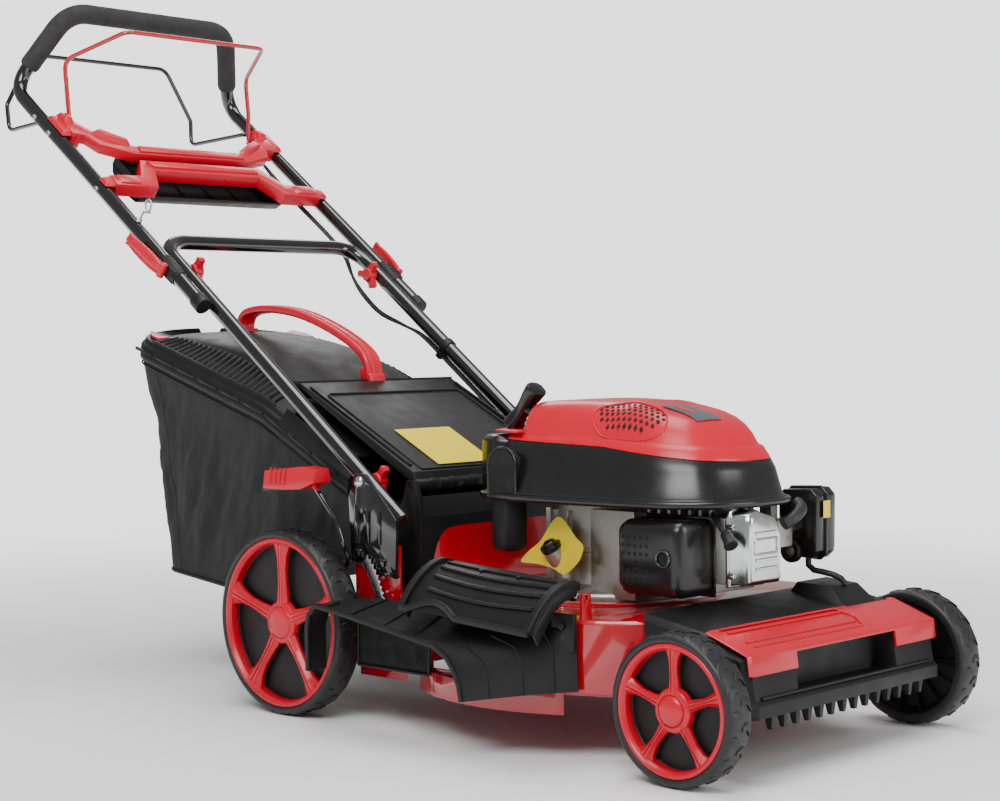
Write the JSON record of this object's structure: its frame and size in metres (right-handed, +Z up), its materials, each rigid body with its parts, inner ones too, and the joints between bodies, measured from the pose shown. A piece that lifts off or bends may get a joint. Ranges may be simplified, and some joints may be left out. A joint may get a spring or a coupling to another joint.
{
  "type": "push lawn mower",
  "caption": "Walk-behind petrol mower: steel deck, engine under a cowl, rear grass bag, side chute, folding handle with two bails and four spoked wheels.",
  "frame": {"origin": "on the ground under the middle of the bounding box", "axes": "+X forward, the way the mower is pushed; +Y to the operator's left; +Z up"},
  "size_m": [1.7172, 0.639, 1.173],
  "materials": {
    "red_paint": "gloss enamel",
    "red_plastic": "satin moulded",
    "black_plastic": "fine moulded grain",
    "black_paint": "gloss powder coat",
    "zinc_steel": "zinc plated",
    "cast_aluminium": "as cast",
    "pressed_steel": "bright plated",
    "rubber": "matt",
    "tyre_rubber": "moulded tread",
    "foam": "soft foam",
    "mesh_fabric": "woven mesh"
  },
  "bodies": {
    "deck": {"deck_shell": "red_paint", "nose_cover": "black_plastic", "nose_trim": "red_plastic", "rear_tunnel": "black_plastic", "height_quadrant": "zinc_steel", "handle_bracket_right": "black_paint", "handle_bracket_left": "black_paint", "crankcase": "cast_aluminium", "cylinder": "cast_aluminium", "valve_cover": "pressed_steel", "muffler_guard": "black_paint", "carburettor": "cast_aluminium", "air_filter_box": "black_plastic", "cowl_base": "black_plastic", "cowl_top": "red_plastic", "fuel_tank": "black_plastic", "vent_hose": "rubber", "brake_cable": "rubber", "drive_cable": "rubber"},
    "rear_crank": {"rear_axle": "zinc_steel", "gearbox": "cast_aluminium", "height_lever": "red_plastic"},
    "front_crank": {"front_axle": "zinc_steel"},
    "drive_shaft": {"drive_shaft": "zinc_steel"},
    "engine_shaft": {"crankshaft": "zinc_steel", "flywheel": "cast_aluminium", "blade": "black_paint"},
    "lower_handle": {"lower_handle": "black_paint"},
    "upper_handle": {"upper_handle": "black_paint", "foam_grip": "foam", "console_top": "red_plastic", "console_bottom": "red_plastic", "console_tray": "black_plastic", "rope_guide": "zinc_steel"},
    "brake_bail": {"brake_bail": "red_paint"},
    "drive_bail": {"drive_bail": "black_paint"},
    "cam_lever_right": {"cam_lever_right": "red_plastic"},
    "cam_lever_left": {"cam_lever_left": "red_plastic"},
    "wing_knob_upper_right": {"wing_knob_upper_right": "red_plastic"},
    "wing_knob_upper_left": {"wing_knob_upper_left": "red_plastic"},
    "wing_knob_lower_right": {"wing_knob_lower_right": "red_plastic"},
    "wing_knob_lower_left": {"wing_knob_lower_left": "red_plastic"},
    "rear_flap": {"rear_flap": "black_plastic"},
    "grass_bag": {"bag_body": "mesh_fabric", "bag_lid": "black_plastic", "bag_handle": "red_plastic"},
    "side_chute": {"side_chute": "black_plastic"},
    "side_door": {"side_door": "black_plastic"},
    "starter_grip": {"starter_grip": "black_plastic"},
    "primer_bulb": {"primer_bulb": "rubber"},
    "oil_cap": {"oil_cap": "black_plastic"},
    "fuel_cap": {"fuel_cap": "black_plastic"},
    "wheel_front_right": {"wheel_front_right": "tyre_rubber", "wheel_cap_front_right": "red_plastic"},
    "wheel_front_left": {"wheel_front_left": "tyre_rubber", "wheel_cap_front_left": "red_plastic"},
    "wheel_rear_right": {"wheel_rear_right": "tyre_rubber", "wheel_cap_rear_right": "red_plastic"},
    "wheel_rear_left": {"wheel_rear_left": "tyre_rubber", "wheel_cap_rear_left": "red_plastic"}
  },
  "joints": [
    {"name": "height_adjust", "type": "hinge", "parent": "deck", "child": "rear_crank", "pos_m": [0.05456, 0.0205, 0.15165], "axis": [0, 1, 0], "range_deg": [0, 38]},
    {"name": "front_height", "type": "hinge", "parent": "deck", "child": "front_crank", "pos_m": [0.71763, 0.0205, 0.10915], "axis": [0, 1, 0], "range_deg": [-38, 0]},
    {"name": "drive_shaft_spin", "type": "hinge", "parent": "rear_crank", "child": "drive_shaft", "pos_m": [0.01109, 0.0205, 0.14], "axis": [0, 1, 0], "continuous": true},
    {"name": "wheel_front_right_spin", "type": "hinge", "parent": "front_crank", "child": "wheel_front_right", "pos_m": [0.76109, -0.2495, 0.0975], "axis": [0, 1, 0], "continuous": true},
    {"name": "wheel_front_left_spin", "type": "hinge", "parent": "front_crank", "child": "wheel_front_left", "pos_m": [0.76109, 0.2905, 0.0975], "axis": [0, 1, 0], "continuous": true},
    {"name": "wheel_rear_right_spin", "type": "hinge", "parent": "rear_crank", "child": "wheel_rear_right", "pos_m": [0.01109, -0.2535, 0.14], "axis": [0, 1, 0], "continuous": true},
    {"name": "wheel_rear_left_spin", "type": "hinge", "parent": "rear_crank", "child": "wheel_rear_left", "pos_m": [0.01109, 0.2945, 0.14], "axis": [0, 1, 0], "continuous": true},
    {"name": "engine_spin", "type": "hinge", "parent": "deck", "child": "engine_shaft", "pos_m": [0.42109, 0.0205, 0.2], "axis": [0, 0, 1], "continuous": true},
    {"name": "lower_fold", "type": "hinge", "parent": "deck", "child": "lower_handle", "pos_m": [0.12609, 0.0205, 0.353], "axis": [0, 1, 0], "range_deg": [0, 30]},
    {"name": "upper_fold", "type": "hinge", "parent": "lower_handle", "child": "upper_handle", "pos_m": [-0.31271, 0.0205, 0.68127], "axis": [0, 1, 0], "range_deg": [0, 130]},
    {"name": "brake_bail_pull", "type": "hinge", "parent": "upper_handle", "child": "brake_bail", "pos_m": [-0.65943, 0.0205, 0.94564], "axis": [0, -1, 0], "range_deg": [0, 35], "stiffness_Nm_per_rad": 1, "springref_deg": -34.38},
    {"name": "drive_bail_pull", "type": "hinge", "parent": "upper_handle", "child": "drive_bail", "pos_m": [-0.68985, 0.0205, 0.9634], "axis": [0, 1, 0], "range_deg": [0, 30], "stiffness_Nm_per_rad": 1, "springref_deg": -34.38},
    {"name": "cam_lever_right_open", "type": "hinge", "parent": "upper_handle", "child": "cam_lever_right", "pos_m": [-0.31271, -0.2413, 0.68127], "axis": [0.599, 0, 0.8007], "range_deg": [0, 100]},
    {"name": "wing_knob_upper_right_turn", "type": "hinge", "parent": "upper_handle", "child": "wing_knob_upper_right", "pos_m": [-0.31271, -0.1695, 0.68127], "axis": [0, 1, 0], "continuous": true},
    {"name": "wing_knob_lower_right_turn", "type": "hinge", "parent": "deck", "child": "wing_knob_lower_right", "pos_m": [0.12609, -0.1695, 0.353], "axis": [0, 1, 0], "continuous": true},
    {"name": "cam_lever_left_open", "type": "hinge", "parent": "upper_handle", "child": "cam_lever_left", "pos_m": [-0.31271, 0.2823, 0.68127], "axis": [-0.599, 0, -0.8007], "range_deg": [0, 100]},
    {"name": "wing_knob_upper_left_turn", "type": "hinge", "parent": "upper_handle", "child": "wing_knob_upper_left", "pos_m": [-0.31271, 0.2105, 0.68127], "axis": [0, 1, 0], "continuous": true},
    {"name": "wing_knob_lower_left_turn", "type": "hinge", "parent": "deck", "child": "wing_knob_lower_left", "pos_m": [0.12609, 0.2105, 0.353], "axis": [0, 1, 0], "continuous": true},
    {"name": "rear_flap_lift", "type": "hinge", "parent": "deck", "child": "rear_flap", "pos_m": [0.17809, 0.0205, 0.346], "axis": [0, 1, 0], "range_deg": [0, 75]},
    {"name": "bag_pull", "type": "slide", "parent": "deck", "child": "grass_bag", "axis": [-0.9659, 0, 0.2588], "range_m": [0, 0.6]},
    {"name": "chute_lift", "type": "hinge", "parent": "deck", "child": "side_chute", "pos_m": [0.44609, -0.2175, 0.226], "axis": [-0.9981, 0, 0.061], "range_deg": [0, 25]},
    {"name": "side_door_lift", "type": "hinge", "parent": "side_chute", "child": "side_door", "pos_m": [0.44609, -0.2175, 0.226], "axis": [-0.9981, 0, 0.061], "range_deg": [0, 50]},
    {"name": "starter_pull", "type": "slide", "parent": "deck", "child": "starter_grip", "axis": [-0.8902, -0.2003, 0.4092], "range_m": [0, 0.5], "stiffness_N_per_m": 20, "springref_m": -0.1},
    {"name": "primer_press", "type": "slide", "parent": "deck", "child": "primer_bulb", "axis": [0, 1, 0], "range_m": [0, 0.006], "stiffness_N_per_m": 300, "springref_m": -0.002},
    {"name": "oil_cap_turn", "type": "hinge", "parent": "deck", "child": "oil_cap", "pos_m": [0.40909, -0.0975, 0.262], "axis": [-0.1863, -0.5123, 0.8383], "continuous": true},
    {"name": "fuel_cap_turn", "type": "hinge", "parent": "deck", "child": "fuel_cap", "pos_m": [0.43109, 0.1965, 0.352], "axis": [0, 0, 1], "continuous": true}
  ],
  "couplings": [
    {"joint": "front_height", "follows": "height_adjust", "ratio": -1}
  ]
}
